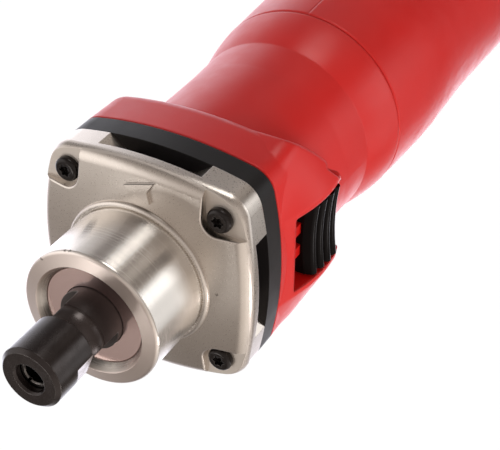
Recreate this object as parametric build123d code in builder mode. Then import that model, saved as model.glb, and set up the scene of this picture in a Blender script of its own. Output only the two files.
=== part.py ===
import os
from math import cos, radians, sin

from build123d import *

os.makedirs("parts", exist_ok=True)

# Straight grinder. X runs forward along the spindle, Y is the tool's left,
# Z is up. The origin is the middle of the clamping neck, on the spindle axis.

# ---- driving dimensions, millimetres ----
NECK_R = 21.5            # standard 43 mm clamping neck
X_NECK = 12.0            # front face of the neck
X_FACE = -12.6           # front face of the flange at the neck's root
DOME_R = 150.0           # the flange's front face is slightly domed
X_POCKET = -17.0         # lowered floor under the flange screw heads
X_PLATE = -20.0          # back of the flange plate, front of the air outlets
X_RING_F = -26.5         # front of the spacer ring
X_RING_R = -34.0         # back of the spacer ring, front of the motor housing
X_FLANGE = -51.4         # rear edge of the motor housing's flange
X_CONSOLE = -66.4        # rear end of the switch console
X_SEAM = -113.6          # seam between motor housing and handle
X_END = -300.0           # rear end face of the handle
Z_REST = -34.5           # the flange's underside, where the tool lies on a table
REST_SLOPE = 0.002       # the handle's two flats carry on from there, so that it lies steady

SCREW_PITCH = 48.9       # square pattern of the flange screws
SCREW_R = 2.0
SCREW_HEAD_R = 3.75
SCREW_HEAD_H = 2.3
POCKET_WALL = 19.7       # screw pocket walls, from the centre planes
POCKET_CORNER = 5.0
POCKET_EDGE = 0.6        # rounded top edge of the screw pockets

OUTLINE = (34.2, 30.3, 8.0)      # bowed square: half width, corner, corner radius
PLATE_OUTLINE = (34.5, 30.5, 8.4)
FLANGE_REAR = (33.6, 30.0, 7.5)
RIM_R = 4.2                      # rounded front rim of the flange plate

FAN_BORE_R = 28.3        # fan chamber
TUBE_R = 31.0            # motor tube, outside
TUBE_IN_R = 28.25        # motor tube, inside
X_CREASE, CREASE_R = -96.0, 31.45   # where the flare starts
FLARE_R = 34.6           # rear end of the motor housing's flare
NECK_REAR_R = 30.5       # motor housing inside the handle
NECK_REAR_IN_R = 27.6

SPINDLE_R = 9.3          # spindle collar
SPINDLE_FLAT = 7.5       # half of the 15 mm spanner flats
SPINDLE_FLAT_ANGLE = 143.0
THREAD_R = 7.5
NUT_R = 9.3
NUT_FLAT = 8.5           # half of the 17 mm spanner flats
NUT_FLAT_ANGLE = -20.0
X_NUT_REAR = 22.7
X_NUT_FLAT = 29.8
X_NUT_FRONT = 38.2
COLLET_R = 3.0           # 6 mm shanks

POCKET_F = -40.4         # switch pocket, front wall
POCKET_R = -65.0         # switch pocket, rear wall
POCKET_HALF = 13.1       # half height of the switch pocket
LIP = 1.6                # upright lip above and below the switch pocket
POCKET_FLOOR = 29.8
SLIDER_F = -48.4         # slider at rest (off)
SLIDER_R = -64.6
SLIDER_HALF = 12.2
RAIL_R = -54.2           # rear end of the pocket's two rails
SWITCH_TRAVEL = 6.0
RIB_X = (-50.6, -54.4, -58.2, -62.0)
RIB_Y = (36.2, 36.7, 37.0, 36.9)
# switch console, section by section: x, side, lean of the facets, height
CONSOLE = [
    (-34.0, 33.3, 0.20, 29.8), (-42.5, 35.6, 0.36, 31.4), (-51.0, 37.3, 0.46, 32.5),
    (-59.0, 37.5, 0.52, 32.5), (-67.0, 36.7, 0.56, 32.5),
]

DIAL_X, DIAL_Z, DIAL_R = -292.0, 12.5, 10.0
GLAND_Z = -11.0
GLAND_BORE_R = 4.1


def bowed_square(half, corner, radius):
    """Square with four bowed sides and rounded corners."""
    with BuildSketch() as s:
        with BuildLine():
            ThreePointArc((-corner, corner), (0, half), (corner, corner))
            ThreePointArc((corner, corner), (half, 0), (corner, -corner))
            ThreePointArc((corner, -corner), (0, -half), (-corner, -corner))
            ThreePointArc((-corner, -corner), (-half, 0), (-corner, corner))
        make_face()
        fillet(s.vertices(), radius)
    return s.sketch


def turned(points):
    """Closed half profile (x, r) for a piece turned about the spindle axis."""
    with BuildSketch() as s:
        with BuildLine():
            Polyline(*points, close=True)
        make_face()
    return s.sketch


def finish(builder, name):
    builder.part.label = name
    export_step(builder.part, f"parts/{name}.step")


# ---------------------------------------------------------------- nose housing
apex = X_FACE + 23.5**2 / (2 * DOME_R)
dome_edge = apex - DOME_R + (DOME_R**2 - 60**2) ** 0.5
with BuildSketch() as dome_profile:
    with BuildLine():
        ThreePointArc((apex, 0), (apex - DOME_R + (DOME_R**2 - 30**2) ** 0.5, 30), (dome_edge, 60))
        Polyline((dome_edge, 60), (-40, 60), (-40, 0), (apex, 0))
    make_face()

# the flange's raised cross between the screw pockets, its edges rounded, on a flat base
with BuildPart() as raised_cross:
    with BuildSketch(Plane.YZ.offset(X_PLATE)) as cross:
        Rectangle(2 * POCKET_WALL, 90)
        Rectangle(90, 2 * POCKET_WALL)
        fillet(cross.vertices().sort_by_distance((0, 0, 0))[:4], POCKET_CORNER)
    extrude(amount=20)
    with BuildSketch(Plane.XY):
        add(dome_profile.sketch)
    revolve(axis=Axis.X, mode=Mode.INTERSECT)
    top = raised_cross.faces().sort_by(Axis.X)[-1]
    fillet(top.edges().filter_by(lambda e: min(abs(e.center().Y), abs(e.center().Z)) > 5), POCKET_EDGE)
    with BuildSketch(Plane.YZ.offset(X_PLATE)):
        Rectangle(90, 90)
    extrude(amount=X_POCKET - X_PLATE)

with BuildPart() as nose_housing:
    # bowed square flange plate, domed in front, with a rounded rim
    with BuildSketch(Plane.YZ.offset(X_PLATE)):
        add(bowed_square(*PLATE_OUTLINE))
    extrude(amount=12)
    with BuildSketch(Plane.XY):
        add(dome_profile.sketch)
    revolve(axis=Axis.X, mode=Mode.INTERSECT)
    dome = nose_housing.faces().sort_by(Axis.X)[-1]
    fillet(dome.edges(), RIM_R)
    # corners lowered under the screw heads, open to the outside
    add(raised_cross.part, mode=Mode.INTERSECT)
    # neck with a rounded bead and a relief groove at its root
    with BuildSketch(Plane.XY):
        with BuildLine():
            bead = NECK_R + 1.7
            Polyline((X_PLATE + 1, 0), (X_PLATE + 1, bead), (X_FACE + 0.3, bead))
            ThreePointArc(
                (X_FACE + 0.3, bead), (X_FACE + 1.075, bead - 0.325), (X_FACE + 1.4, bead - 1.1),
            )
            Polyline(
                (X_FACE + 1.4, bead - 1.1), (X_FACE + 1.4, NECK_R - 0.35), (X_FACE + 2.1, NECK_R - 0.35),
                (X_FACE + 2.1, NECK_R), (X_NECK - 1.9, NECK_R),
            )
            # the front lip slopes back a little and is rounded into the neck
            ThreePointArc(
                (X_NECK - 1.9, NECK_R), (X_NECK - 1.157, NECK_R - 0.264), (X_NECK - 0.748, NECK_R - 0.936),
            )
            Polyline((X_NECK - 0.748, NECK_R - 0.936), (X_NECK, 17.0), (X_NECK, 0), (X_PLATE + 1, 0))
        make_face()
    revolve(axis=Axis.X)
    # corner posts that stand off the plate, with the air outlets between them
    with BuildSketch(Plane.YZ.offset(X_RING_F)):
        add(bowed_square(*OUTLINE))
        Circle(FAN_BORE_R, mode=Mode.SUBTRACT)
        with PolarLocations(0, 4):
            Polygon(
                (9.5, 15), (9.5, 28), (16.5, 33), (16.5, 45),
                (-16.5, 45), (-16.5, 33), (-9.5, 28), (-9.5, 15),
                align=None, mode=Mode.SUBTRACT,
            )
    extrude(amount=X_PLATE - X_RING_F)
    # mouth, cover seat, bearing seat and rear cavity
    with BuildSketch(Plane.XY):
        add(turned([
            (X_NECK + 1, 0), (X_NECK + 1, 17.65), (X_NECK, 17.1), (9.25, 15.42), (7.0, 15.42), (7.0, 15.0), (-2.0, 15.0), (-2.0, 12.0),
            (X_PLATE - 1, 13.5), (X_PLATE - 1, 0),
        ]))
    revolve(axis=Axis.X, mode=Mode.SUBTRACT)
    # screw holes
    with BuildSketch(Plane.YZ.offset(X_RING_F - 1)):
        with GridLocations(SCREW_PITCH, SCREW_PITCH, 2, 2):
            Circle(SCREW_R + 0.3)
    extrude(amount=20, mode=Mode.SUBTRACT)
    # raised arrowhead: direction of rotation
    with BuildSketch(Plane(origin=(-12.43, 0.3, 28.2), x_dir=(0, 1, 0), z_dir=(1, 0, 0.19))):
        Polygon((-3.9, 0.1), (5.4, 3.0), (3.7, 0.0), (4.8, -3.1), align=None)
    extrude(amount=-1.5)
finish(nose_housing, "nose_housing")

with BuildPart() as flange_screws:
    with BuildSketch(Plane.YZ.offset(X_POCKET)):
        with GridLocations(SCREW_PITCH, SCREW_PITCH, 2, 2):
            Circle(SCREW_HEAD_R)
    extrude(amount=SCREW_HEAD_H)
    fillet(flange_screws.faces().filter_by(Plane.YZ).group_by(Axis.X)[-1].edges(), 1.3)
    with BuildSketch(Plane.YZ.offset(X_POCKET)):
        with GridLocations(SCREW_PITCH, SCREW_PITCH, 2, 2):
            Circle(SCREW_R)
    extrude(amount=-29)
    with BuildSketch(Plane.YZ.offset(X_POCKET + SCREW_HEAD_H - 1.7)):
        with GridLocations(SCREW_PITCH, SCREW_PITCH, 2, 2):
            Circle(1.45)
            with PolarLocations(1.5, 6):
                Circle(0.45)
    extrude(amount=5, mode=Mode.SUBTRACT)
finish(flange_screws, "flange_screws")

with BuildPart() as bearing_cover:
    with BuildSketch(Plane.XY):
        add(turned([
            (7.9, 9.5), (9.2, 9.5), (9.2, 15.1), (8.9, 15.4), (7.9, 15.4),
        ]))
    revolve(axis=Axis.X)
finish(bearing_cover, "bearing_cover")

with BuildPart() as spacer_ring:
    with BuildSketch(Plane.YZ.offset(X_RING_R)):
        add(bowed_square(*OUTLINE))
        Circle(FAN_BORE_R - 0.3, mode=Mode.SUBTRACT)
        with GridLocations(SCREW_PITCH, SCREW_PITCH, 2, 2):
            Circle(SCREW_R + 0.3, mode=Mode.SUBTRACT)
    extrude(amount=X_RING_F - X_RING_R)
    outer = spacer_ring.faces().filter_by(Plane.YZ)
    chamfer([f.outer_wire().edges() for f in outer][0], 0.5)
    chamfer([f.outer_wire().edges() for f in spacer_ring.faces().filter_by(Plane.YZ)][-1], 0.5)
finish(spacer_ring, "spacer_ring")

with BuildPart() as air_baffle:
    with BuildSketch(Plane.XY):
        add(turned([
            (-34.3, 19.0), (-34.3, 28.4), (-36.6, 28.4), (-36.6, 21.5),
            (-39.5, 20.5), (-39.5, 19.5), (-36.0, 19.0),
        ]))
    revolve(axis=Axis.X)
finish(air_baffle, "air_baffle")

# ---------------------------------------------------------------- motor housing
# switch console on the left: it grows out of the flange, its facets lean in above
# and below the slider, and its rear corners are swept in
with BuildPart() as console:
    for x, side, lean, height in CONSOLE:
        with BuildSketch(Plane.YZ.offset(x)) as section:
            shoulder = side - lean * (height - POCKET_HALF)
            Polygon(
                (14, -height), (shoulder, -height), (side, -POCKET_HALF - LIP), (side, POCKET_HALF + LIP),
                (shoulder, height), (14, height), align=None,
            )
            fillet(section.vertices().group_by(Axis.X)[-1], 2.6)
            fillet(section.vertices().filter_by(lambda v: v.X > 15 and abs(abs(v.Y) - height) < 1e-4), 6.5)
    loft()
    with BuildSketch(Plane.XZ):
        with BuildLine():
            Polyline((X_RING_R + 1, -34), (X_RING_R + 1, 34), (-45.8, 34))
            ThreePointArc((-45.8, 34), (-59.4, 22.4), (X_CONSOLE, POCKET_HALF - 1.0))
            Line((X_CONSOLE, POCKET_HALF - 1.0), (X_CONSOLE, -POCKET_HALF + 1.0))
            ThreePointArc((X_CONSOLE, -POCKET_HALF + 1.0), (-59.4, -22.4), (-45.8, -34))
            Line((-45.8, -34), (X_RING_R + 1, -34))
        make_face()
    extrude(amount=-60, mode=Mode.INTERSECT)
    rear = console.edges().filter_by(
        lambda e: e.center().Y > 20 and e.center().X < -52 and abs(e.center().Z) < 30.5
    )
    fillet(rear, 1.8)

with BuildPart() as motor_housing:
    # front flange with slightly drafted sides and a rounded rear edge
    with BuildSketch(Plane.YZ.offset(X_RING_R)):
        add(bowed_square(*OUTLINE))
    with BuildSketch(Plane.YZ.offset(X_FLANGE)):
        add(bowed_square(*FLANGE_REAR))
    loft(ruled=True)
    fillet(motor_housing.faces().sort_by(Axis.X)[0].edges(), 5.4)
    add(console.part)
    # tube, flare, shoulder at the seam, and the neck inside the handle
    with BuildSketch(Plane.XY):
        with BuildLine():
            Line((X_RING_R - 2, 0), (X_RING_R - 2, TUBE_R))
            Polyline((X_RING_R - 2, TUBE_R), (-82, TUBE_R), (X_CREASE, CREASE_R))
            Spline(
                (X_CREASE, CREASE_R), (-104.5, 33.4), (X_SEAM + 0.7, FLARE_R),
                tangents=((-1, 0.26), (-1, 0.08)),
            )
            Polyline(
                (X_SEAM + 0.7, FLARE_R), (X_SEAM + 0.2, FLARE_R - 0.35),
                (X_SEAM + 0.2, NECK_REAR_R), (-124.5, NECK_REAR_R), (-124.5, 31.6),
                (-127.5, 31.6), (-127.5, NECK_REAR_R), (-159.5, NECK_REAR_R), (-159.5, 0),
                (X_RING_R - 2, 0),
            )
        make_face()
    revolve(axis=Axis.X)
    # switch pocket, its low rear wall, and a moulding notch above it
    with BuildSketch(Plane.XZ.offset(-POCKET_FLOOR)):
        with Locations(((POCKET_R + POCKET_F) / 2, 0)):
            RectangleRounded(POCKET_F - POCKET_R, 2 * POCKET_HALF, 0.8)
    extrude(amount=-30, mode=Mode.SUBTRACT)
    with BuildSketch(Plane.XZ.offset(-33.4)):
        with Locations((POCKET_R - 1, 0)):
            Rectangle(6, 2 * POCKET_HALF - 1.6)
    extrude(amount=-30, mode=Mode.SUBTRACT)
    with BuildSketch(Plane.XZ.offset(-31.0)):
        with Locations((-62.6, 17.9)):
            Rectangle(6.4, 3.8, rotation=50)
    extrude(amount=-10, mode=Mode.SUBTRACT)
    # two rails on the pocket floor that the slider runs over
    with BuildSketch(Plane.XZ.offset(-POCKET_FLOOR + 0.5)):
        with Locations(((POCKET_F + 0.5 + RAIL_R) / 2, 3.85), ((POCKET_F + 0.5 + RAIL_R) / 2, -3.85)):
            Rectangle(POCKET_F + 0.5 - RAIL_R, 3.5)
    extrude(amount=-3.0)
    # slot in the pocket floor for the slider's foot
    with BuildSketch(Plane.XZ.offset(-20)):
        with Locations((-56.0, 0)):
            Rectangle(12.4, 3.6)
    extrude(amount=-12, mode=Mode.SUBTRACT)
    # inside: baffle seat, field seat, rear neck
    with BuildSketch(Plane.XY):
        add(turned([
            (X_RING_R + 1, 0), (X_RING_R + 1, 28.6), (-37.0, 28.6), (-37.0, TUBE_IN_R),
            (-105.6, TUBE_IN_R), (-105.6, NECK_REAR_IN_R), (-162, NECK_REAR_IN_R), (-162, 0),
        ]))
    revolve(axis=Axis.X, mode=Mode.SUBTRACT)
    # bosses for the field screws
    for side in (1, -1):
        with BuildSketch(Plane.YZ.offset(-118)):
            with Locations((0, side * 25.4)):
                Rectangle(9, 6.4)
        extrude(amount=118 - 105.6)
    # rear bearing seat on four spokes
    with BuildSketch(Plane.YZ.offset(-159.5)):
        Circle(16)
    extrude(amount=13.5)
    for angle in (45, 135):
        with BuildSketch(Plane.YZ.offset(-159.5)):
            Rectangle(57, 6, rotation=angle)
        extrude(amount=9.5)
    with BuildSketch(Plane.XY):
        add(turned([(-140, 0), (-140, 13.05), (-156.0, 13.05), (-156.0, 8.0), (-165, 8.0), (-165, 0)]))
    revolve(axis=Axis.X, mode=Mode.SUBTRACT)
    # guides for the brush holders, above and below the commutator
    for side in (1, -1):
        with BuildSketch(Plane.XY.offset(side * 17)):
            with Locations((-130, 0)):
                Rectangle(14.5, 14)
        extrude(amount=side * 11.5)
        with BuildSketch(Plane.XY.offset(side * 12)):
            with Locations((-130, 0)):
                Rectangle(9.6, 6.8)
            with Locations((-136, 0)):
                Rectangle(6, 3.6)
        extrude(amount=side * 22, mode=Mode.SUBTRACT)
    # way for the switch rod along the left side
    with BuildSketch(Plane.XZ.offset(-24.4)):
        with Locations((-134, 0)):
            Rectangle(60, 8.4)
    extrude(amount=-3.5, mode=Mode.SUBTRACT)
    # blind holes for the flange screws and the field screws
    with BuildSketch(Plane.YZ.offset(-47.0)):
        with GridLocations(SCREW_PITCH, SCREW_PITCH, 2, 2):
            Circle(SCREW_R + 0.05)
    extrude(amount=20, mode=Mode.SUBTRACT)
    with BuildSketch(Plane.YZ.offset(-120)):
        with Locations((0, 25.0), (0, -25.0)):
            Circle(1.7)
    extrude(amount=16, mode=Mode.SUBTRACT)
finish(motor_housing, "motor_housing")

# ---------------------------------------------------------------- switch gear
with BuildPart() as slide_button:
    # ribbed thumb piece, dished along its ribs
    with BuildSketch(Plane.XY):
        with BuildLine():
            Line((SLIDER_F, 27.0), (SLIDER_F, 33.2))
            here = (SLIDER_F, 33.2)
            for x, crown in zip(RIB_X, RIB_Y):
                Line(here, (x + 1.5, crown - 1.25))
                ThreePointArc((x + 1.5, crown - 1.25), (x, crown), (x - 1.5, crown - 1.25))
                here = (x - 1.5, crown - 1.25)
            Polyline(here, (SLIDER_R, crown - 2.0), (SLIDER_R, 27.0), (SLIDER_F, 27.0))
        make_face()
    revolve(axis=Axis((0, 116.0, 0), (1, 0, 0)), revolution_arc=12)
    mirror(about=Plane.XY)
    with Locations(((SLIDER_F + SLIDER_R) / 2, POCKET_FLOOR + 0.3 + 10, 0)):
        Box(SLIDER_F - SLIDER_R + 2, 20, 2 * SLIDER_HALF, mode=Mode.INTERSECT)
    # room over the two rails
    with BuildSketch(Plane.XZ.offset(-29)):
        with Locations(((SLIDER_F + 1 - 61.2) / 2, 3.85), ((SLIDER_F + 1 - 61.2) / 2, -3.85)):
            Rectangle(SLIDER_F + 1 + 61.2, 4.3)
    extrude(amount=-3.7, mode=Mode.SUBTRACT)
    # foot through the pocket floor
    with BuildSketch(Plane.XZ.offset(-27.2)):
        with Locations((-59.0, 0)):
            Rectangle(5.0, 3.0)
    extrude(amount=-4.0)
finish(slide_button, "slide_button")

with BuildPart() as switch_rod:
    with BuildSketch(Plane.XZ.offset(-25.2)):
        with Locations((-119.5, 0)):
            Rectangle(129, 6.8)
    extrude(amount=-2.0)
    with BuildSketch(Plane.XZ.offset(-23.7)):
        with Locations((-183, 0)):
            Rectangle(2, 6.8)
    extrude(amount=-2.0)
finish(switch_rod, "switch_rod")

with BuildPart() as switch_actuator:
    with BuildSketch(Plane.XZ.offset(-22.3)):
        with Locations((-183, 0)):
            Rectangle(10, 8)
    extrude(amount=-1.3)
    with BuildSketch(Plane.XZ.offset(-23.6)):
        with Locations((-186.1, 0), (-179.9, 0)):
            Rectangle(3.8, 8)
    extrude(amount=-1.4)
finish(switch_actuator, "switch_actuator")

with BuildPart() as power_switch:
    with Locations((-189.5, 14, 0)):
        Box(31, 16, 16)
    chamfer(power_switch.edges().filter_by(Axis.X), 0.6)
    with Locations((-189.5, 4.5, 4.5), (-189.5, 4.5, -4.5)):
        Box(6, 5, 0.9)
finish(power_switch, "power_switch")

# ---------------------------------------------------------------- handle halves
OUTER = [
    (X_SEAM - 0.7, FLARE_R), (-129, 35.3), (-147, 35.8), (-165, 35.2), (-180, 34.8),
    (-200, 35.1), (-220, 35.6), (-245, 35.6), (-268, 33.8), (-288, 29.6),
]
INNER = [
    (-297.4, 0), (-297.4, 20.3), (-294, 24.2), (-284, 28.2), (-268, 31.2), (-245, 33.0),
    (-220, 33.0), (-200, 32.5), (-180, 32.2), (-165, 32.6), (-143, 33.1), (-130.5, 32.3),
    (-130.5, 30.65), (-127.8, 30.65), (-127.8, 31.9), (-124.2, 31.9), (-124.2, 30.65),
    (-121.5, 30.65), (-121.5, 32.0), (-117.5, 32.0), (-117.5, 30.65), (X_SEAM - 0.2, 30.65),
]
HANDLE_SCREWS = [(-172.5, 22.0), (-172.5, -22.0), (-262.9, 20.0), (-262.9, -20.0)]
with BuildSketch() as shell_profile:
    with BuildLine():
        Spline(*OUTER)
        ThreePointArc((-288, 29.6), (-296.6, 25.8), (X_END, 19.5))
        Polyline((X_END, 19.5), (X_END, 0), *INNER, (X_SEAM - 0.2, FLARE_R - 0.35), (X_SEAM - 0.7, FLARE_R))
    make_face()

with BuildSketch() as core_profile:
    with BuildLine():
        Polyline((-130, 0), (-130, 33.6), *[(x, r + 1.0) for x, r in reversed(INNER[1:11])], (-298.4, 0), close=True)
    make_face()

# what stands on the inside of the left half: switch walls, screw bosses, clamp boss
with BuildPart() as left_inside:
    with Locations((-189.5, 21, 9.3), (-189.5, 21, -9.3)):
        Box(31, 30, 2.4)
    with BuildSketch(Plane.XZ):
        with Locations(*HANDLE_SCREWS):
            Circle(4.0)
    extrude(amount=-34)
    with Locations((-280, 8.5, -19.6)):
        Box(8, 5, 26)
    with BuildSketch(Plane.XY):
        add(core_profile.sketch)
    revolve(axis=Axis.X, mode=Mode.INTERSECT)

# what is cut off under the handle's two swells
with BuildPart() as under_flat:
    with BuildSketch(Plane.XZ):
        Polygon(
            (X_SEAM, Z_REST + REST_SLOPE * (X_SEAM - X_PLATE)), (X_SEAM, -45), (X_END - 5, -45),
            (X_END - 5, Z_REST + REST_SLOPE * (X_END - 5 - X_PLATE)), align=None,
        )
    extrude(amount=25, both=True)

with BuildPart() as handle_left:
    with BuildSketch(Plane.XY):
        add(shell_profile.sketch)
    revolve(axis=Axis.X, revolution_arc=90)
    mirror(about=Plane.XY)
    add(left_inside.part)
    with BuildSketch(Plane.XZ.offset(1)):
        with Locations(*HANDLE_SCREWS):
            Circle(1.55)
    extrude(amount=-17, mode=Mode.SUBTRACT)
    with BuildSketch(Plane.XY.offset(-20)):
        with Locations((-280, 8.5)):
            Circle(1.3)
    extrude(amount=16, mode=Mode.SUBTRACT)
    with BuildSketch(Plane.XZ.offset(-12)):
        with Locations(*[(-279.0, z) for z in (-12, -6, 0, 6, 12)]):
            SlotOverall(15, 3.0)
    extrude(amount=-40, mode=Mode.SUBTRACT)
    with BuildSketch(Plane.YZ.offset(X_END - 1)):
        with Locations((0, GLAND_Z)):
            Circle(7.05)
    extrude(amount=5, mode=Mode.SUBTRACT)
    with BuildSketch(Plane.XZ.offset(1)):
        with Locations((DIAL_X, DIAL_Z)):
            Circle(DIAL_R + 0.8)
    extrude(amount=-4.7, mode=Mode.SUBTRACT)
    add(under_flat.part, mode=Mode.SUBTRACT)
finish(handle_left, "handle_left")

# what stands on the inside of the right half: ribs under the speed module and
# the capacitor, post under the potentiometer, screw bosses, clamp boss
with BuildPart() as right_inside:
    with Locations((-235, -25.05, 7.5)):
        Box(42, 22, 3)
    with Locations((-233, -20.05, -15.5)):
        Box(22, 22, 3)
    with BuildSketch(Plane.XZ.offset(10.05)):
        with Locations((DIAL_X, DIAL_Z)):
            Circle(2.5)
    extrude(amount=20)
    with BuildSketch(Plane.XZ):
        with Locations(*HANDLE_SCREWS):
            Circle(4.5)
    extrude(amount=34)
    with Locations((-280, -8.5, -19.6)):
        Box(8, 5, 26)
    with BuildSketch(Plane.XY):
        add(core_profile.sketch)
    revolve(axis=Axis.X, mode=Mode.INTERSECT)

with BuildPart() as handle_right:
    with BuildSketch(Plane.XY):
        add(mirror(shell_profile.sketch, about=Plane.XZ, mode=Mode.PRIVATE))
    revolve(axis=Axis.X, revolution_arc=90)
    mirror(about=Plane.XY)
    add(right_inside.part)
    with BuildSketch(Plane.XZ.offset(-1)):
        with Locations(*HANDLE_SCREWS):
            Circle(1.8)
    extrude(amount=20, mode=Mode.SUBTRACT)
    with BuildSketch(Plane.XZ.offset(12)):
        with Locations(*HANDLE_SCREWS):
            Circle(3.6)
    extrude(amount=30, mode=Mode.SUBTRACT)
    with BuildSketch(Plane.XY.offset(-20)):
        with Locations((-280, -8.5)):
            Circle(1.3)
    extrude(amount=16, mode=Mode.SUBTRACT)
    with BuildSketch(Plane.XZ.offset(12)):
        with Locations(*[(-279.0, z) for z in (-12, -6, 0, 6, 12)]):
            SlotOverall(15, 3.0)
    extrude(amount=40, mode=Mode.SUBTRACT)
    with BuildSketch(Plane.YZ.offset(X_END - 1)):
        with Locations((0, GLAND_Z)):
            Circle(7.05)
    extrude(amount=5, mode=Mode.SUBTRACT)
    with BuildSketch(Plane.XZ.offset(-1)):
        with Locations((DIAL_X, DIAL_Z)):
            Circle(DIAL_R + 0.8)
    extrude(amount=4.7, mode=Mode.SUBTRACT)
    add(under_flat.part, mode=Mode.SUBTRACT)
finish(handle_right, "handle_right")

with BuildPart() as handle_screws:
    with BuildSketch(Plane.XZ.offset(12)):
        with Locations(*HANDLE_SCREWS):
            Circle(3.3)
    extrude(amount=2.8)
    fillet(handle_screws.faces().filter_by(Plane.XZ).group_by(Axis.Y)[0].edges(), 0.8)
    with BuildSketch(Plane.XZ.offset(12)):
        with Locations(*HANDLE_SCREWS):
            Circle(1.5)
    extrude(amount=-26)
    with BuildSketch(Plane.XZ.offset(13.2)):
        with Locations(*HANDLE_SCREWS):
            Circle(1.15)
            with PolarLocations(1.2, 6):
                Circle(0.36)
    extrude(amount=5, mode=Mode.SUBTRACT)
finish(handle_screws, "handle_screws")

# ---------------------------------------------------------------- electronics
with BuildPart() as speed_module:
    with Locations((-235, 0, 8)):
        Box(46, 28, 16)
    chamfer(speed_module.edges().filter_by(Axis.Z), 1.5)
finish(speed_module, "speed_module")

with BuildPart() as suppression_capacitor:
    with Locations((-233, 0, -15)):
        Box(26, 18, 14)
    fillet(suppression_capacitor.edges().filter_by(Axis.Z), 2.0)
finish(suppression_capacitor, "suppression_capacitor")

with BuildPart() as speed_dial:
    with BuildSketch(Plane.XZ.offset(-3)):
        with Locations((DIAL_X, DIAL_Z)):
            Circle(DIAL_R)
            with PolarLocations(DIAL_R + 0.25, 30):
                Circle(0.65, mode=Mode.SUBTRACT)
    extrude(amount=6)
    with BuildSketch(Plane.XZ.offset(3)):
        with Locations((DIAL_X, DIAL_Z)):
            Circle(1.5)
    extrude(amount=5.5)
finish(speed_dial, "speed_dial")

with BuildPart() as dial_potentiometer:
    with BuildSketch(Plane.XZ.offset(4.2)):
        with Locations((DIAL_X, DIAL_Z)):
            Circle(5.0)
    extrude(amount=5.8)
    with BuildSketch(Plane.XZ.offset(4.1)):
        with Locations((DIAL_X, DIAL_Z)):
            Circle(1.54)
    extrude(amount=4.7, mode=Mode.SUBTRACT)
finish(dial_potentiometer, "dial_potentiometer")

LEADS = [
    [(-141.1, 0, 20.4), (-162.5, 0, 20.4), (-162.5, 0, 11), (-211.9, 0, 11)],
    [(-141.1, 0, -20.4), (-162.5, 0, -20.4), (-162.5, 0, -12), (-207.5, 0, -12), (-207.5, 0, 4), (-211.9, 0, 4)],
    [(-113.2, -18.5, 10.5), (-205, -18.5, 10.5), (-205, -10, 10.5), (-211.9, -10, 10.5)],
]
with BuildPart() as lead_wires:
    for route in LEADS:
        with BuildLine() as lead:
            FilletPolyline(*route, radius=2.0)
        with BuildSketch(Plane(origin=lead.line @ 0, z_dir=lead.line % 0)):
            Circle(0.9)
        sweep(path=lead.line)
    with BuildSketch(Plane.YZ.offset(-211.9)):
        with Locations((12, 3)):
            Circle(0.9)
    extrude(amount=6.8)
    with BuildSketch(Plane.XY.offset(-7.9)):
        with Locations((-230, 0)):
            Circle(0.9)
    extrude(amount=7.8)
finish(lead_wires, "lead_wires")

# ---------------------------------------------------------------- cord inlet
with BuildPart() as cord_gland:
    with BuildSketch(Plane.XY.offset(GLAND_Z)):
        with BuildLine():
            Polyline(
                (X_END - 3, GLAND_BORE_R), (X_END - 3, 8.2), (X_END - 2.2, 9.0), (X_END - 0.05, 9.0),
                (X_END - 0.05, 7.0), (-297.35, 7.0), (-297.35, 8.6), (-293, 8.6), (-293, GLAND_BORE_R),
                close=True,
            )
        make_face()
    revolve(axis=Axis((0, 0, GLAND_Z), (1, 0, 0)))
finish(cord_gland, "cord_gland")

with BuildPart() as cord_clamp:
    with Locations((-280, 0, -4.5)):
        Box(8, 24, 4)
    with BuildSketch(Plane.YZ.offset(-285)):
        with Locations((0, GLAND_Z)):
            Circle(5.6)
    extrude(amount=10, mode=Mode.SUBTRACT)
    with BuildSketch(Plane.XY.offset(-10)):
        with Locations((-280, 8.5), (-280, -8.5)):
            Circle(1.5)
    extrude(amount=10, mode=Mode.SUBTRACT)
finish(cord_clamp, "cord_clamp")

with BuildPart() as cord_clamp_screws:
    with BuildSketch(Plane.XY.offset(-2.5)):
        with Locations((-280, 8.5), (-280, -8.5)):
            Circle(2.6)
    extrude(amount=2)
    with BuildSketch(Plane.XY.offset(-2.5)):
        with Locations((-280, 8.5), (-280, -8.5)):
            Circle(1.25)
    extrude(amount=-15)
    with BuildSketch(Plane.XY.offset(-1.6)):
        with Locations((-280, 8.5), (-280, -8.5)):
            Rectangle(3.2, 0.7)
            Rectangle(0.7, 3.2)
    extrude(amount=3, mode=Mode.SUBTRACT)
finish(cord_clamp_screws, "cord_clamp_screws")

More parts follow.
